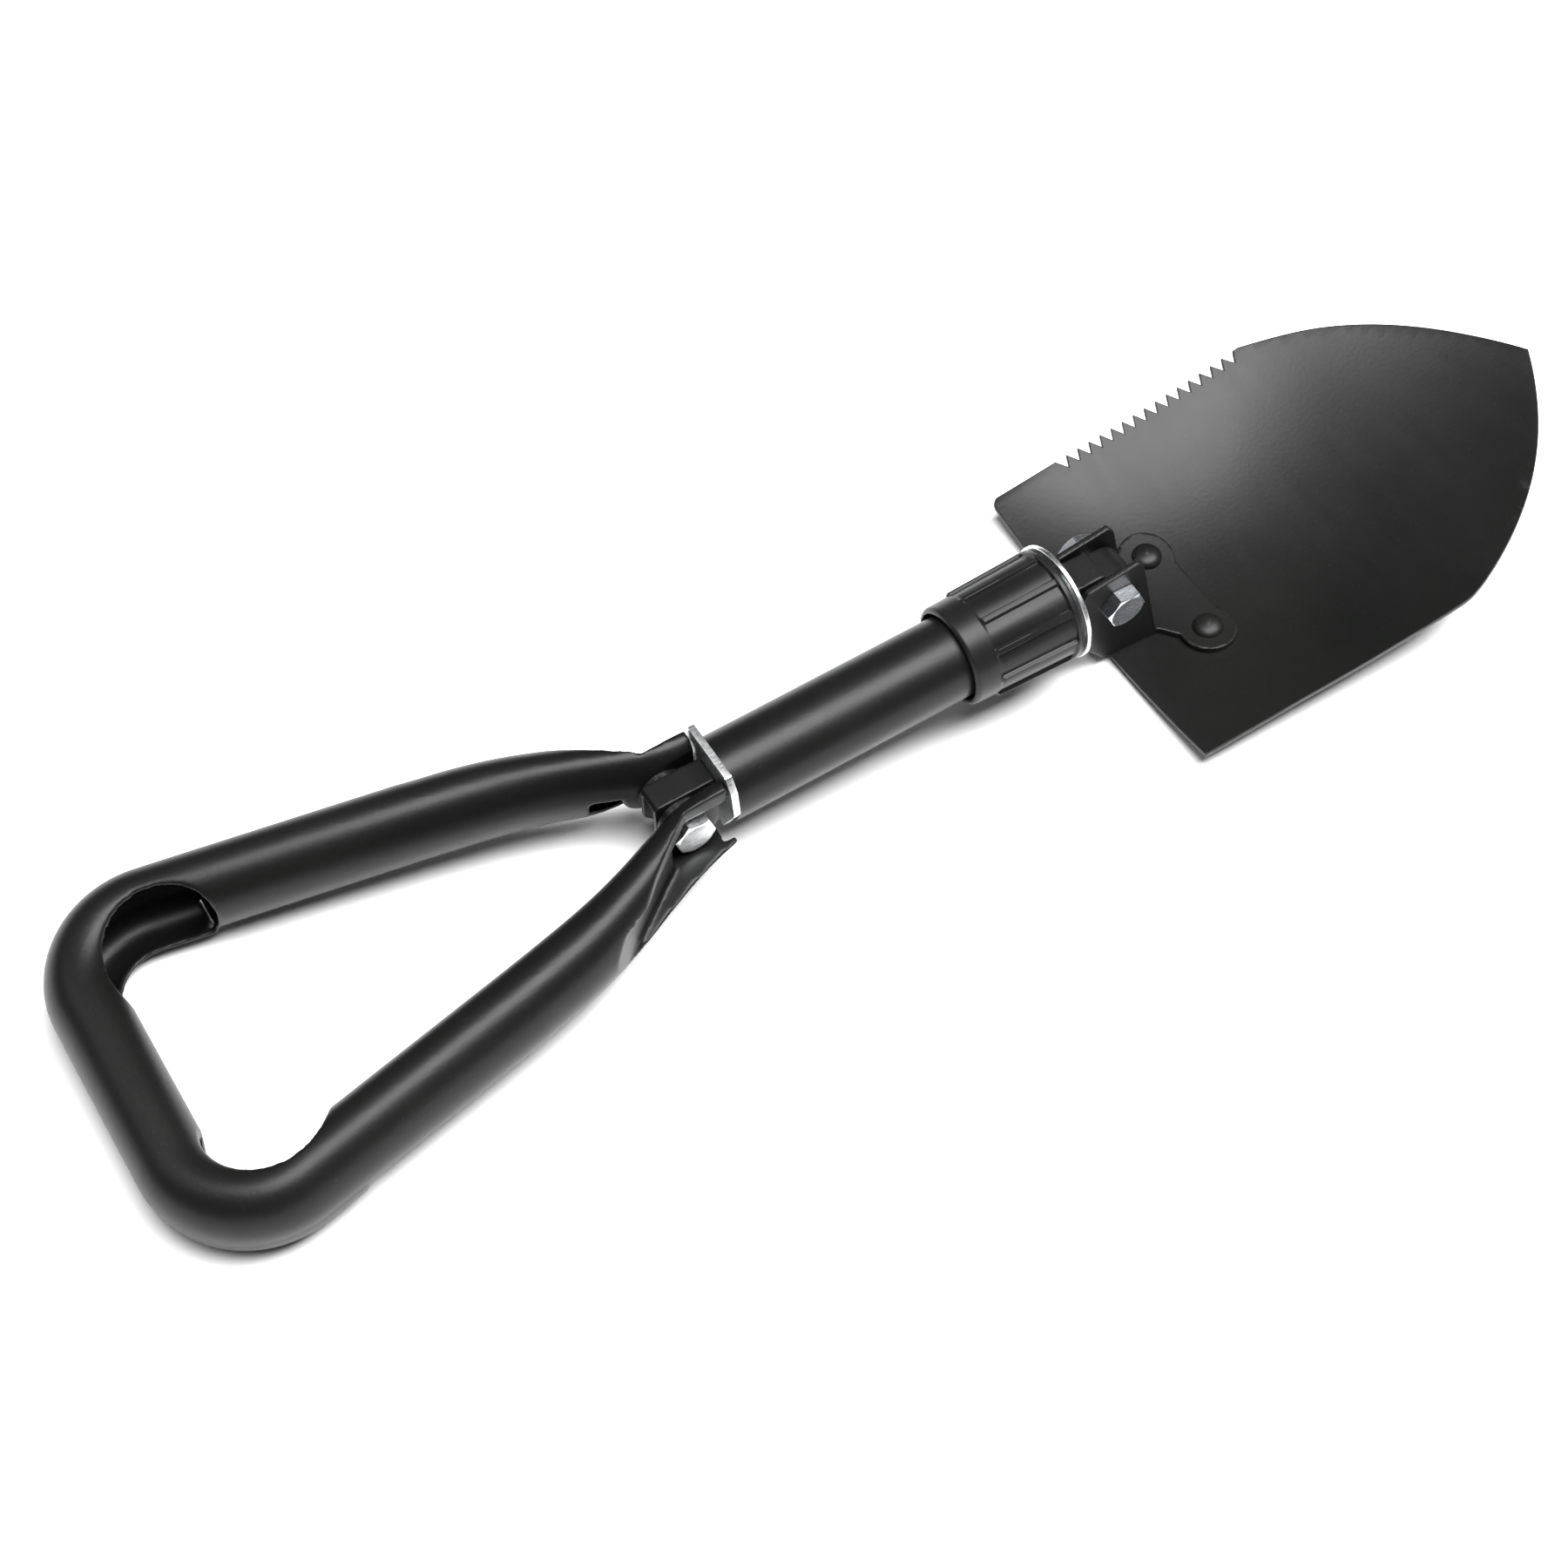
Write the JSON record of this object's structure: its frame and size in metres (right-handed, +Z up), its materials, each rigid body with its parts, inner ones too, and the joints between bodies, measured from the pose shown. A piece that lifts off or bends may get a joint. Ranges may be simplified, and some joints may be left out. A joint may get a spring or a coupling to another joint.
{
  "type": "folding camp shovel",
  "caption": "Short folding shovel: dished pointed blade with one saw edge, tube shaft with a screw collar lock, and a triangular grip that folds under the shaft.",
  "frame": {"origin": "centre of the footprint, on the ground the shovel lies on", "axes": "+X from the grip towards the blade's tip, +Y towards the saw edge, +Z up out of the hollow side of the blade; the shaft rises 3.27 degrees towards the blade"},
  "size_m": [0.418, 0.102, 0.0439],
  "materials": {
    "black_paint": "satin black stove enamel with a soft sheen",
    "black_plastic": "satin moulded black",
    "bright_zinc": "bright zinc plating",
    "plain_steel": "oiled bare steel"
  },
  "bodies": {
    "shaft": {"shaft_tube": "black_paint", "threaded_sleeve": "plain_steel", "tongue_pins": "plain_steel", "blade_tongue": "black_paint", "handle_bracket": "black_paint", "stop_plate": "bright_zinc"},
    "washer": {"collar_washer": "bright_zinc"},
    "collar": {"collar_nut": "black_plastic", "collar_insert": "plain_steel", "collar_snap_ring": "plain_steel"},
    "blade": {"blade_plate": "black_paint", "blade_bracket": "black_paint", "blade_rivet_left": "black_paint", "blade_rivet_right": "black_paint", "blade_pivot_bolt": "bright_zinc", "blade_pivot_nut": "bright_zinc", "blade_pivot_bush": "plain_steel"},
    "handle": {"handle_grip": "black_paint", "handle_washer_left": "bright_zinc", "handle_washer_right": "bright_zinc", "handle_pivot_bolt": "bright_zinc", "handle_pivot_nut": "bright_zinc", "handle_pivot_bush": "plain_steel"}
  },
  "joints": [
    {"name": "blade_fold", "type": "hinge", "parent": "shaft", "child": "blade", "pos_m": [0.069, 0, 0.02725], "axis": [0, -1, 0], "range_deg": [0, 172]},
    {"name": "handle_fold", "type": "hinge", "parent": "shaft", "child": "handle", "pos_m": [-0.05811, 0, 0.022], "axis": [0, -1, 0], "range_deg": [0, 145]},
    {"name": "collar_slide", "type": "slide", "parent": "shaft", "child": "washer", "axis": [-0.9984, 0, -0.057], "range_m": [0, 0.006]},
    {"name": "collar_turn", "type": "hinge", "parent": "washer", "child": "collar", "pos_m": [0.05471, 0, 0.02844], "axis": [-0.9984, 0, -0.057], "range_deg": [0, 720]}
  ],
  "couplings": [
    {"joint": "collar_turn", "follows": "collar_slide", "rad_per_m": 2094.4}
  ]
}
